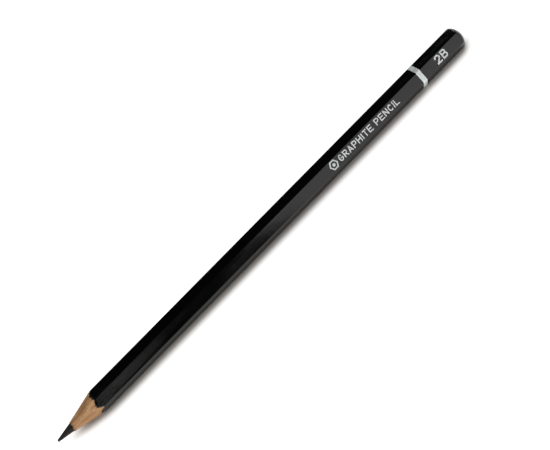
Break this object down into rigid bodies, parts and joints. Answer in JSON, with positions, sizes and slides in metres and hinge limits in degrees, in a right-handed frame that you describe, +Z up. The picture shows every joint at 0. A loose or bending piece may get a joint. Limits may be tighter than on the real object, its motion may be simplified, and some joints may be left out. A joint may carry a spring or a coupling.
{
  "type": "graphite pencil",
  "caption": "Hexagonal wood-cased graphite pencil, sharpened to a point, with black lacquer, a light ring and a dipped, domed end.",
  "frame": {"origin": "on the surface that the pencil lies on, under the middle of its length", "axes": "+X along the pencil from the point to the dipped end, +Z up from the flat that it lies on"},
  "size_m": [0.175, 0.0078, 0.0069],
  "materials": {
    "graphite": "dark grey fired graphite and clay with a dull metallic sheen",
    "wood": "bare light wood with fine straight grain",
    "glue": "dried white wood glue",
    "barrel_lacquer": "gloss black lacquer",
    "ring_paint": "light silver-grey paint",
    "cap_lacquer": "gloss black dipped lacquer",
    "foil": "satin white stamping foil"
  },
  "bodies": {
    "root": {"lead_core": "graphite", "upper_slat": "wood", "lower_slat": "wood", "glue_film": "glue", "barrel_lacquer": "barrel_lacquer", "ring_band": "ring_paint", "end_cap": "cap_lacquer", "barrel_imprint": "foil", "grade_mark": "foil"}
  },
  "joints": []
}
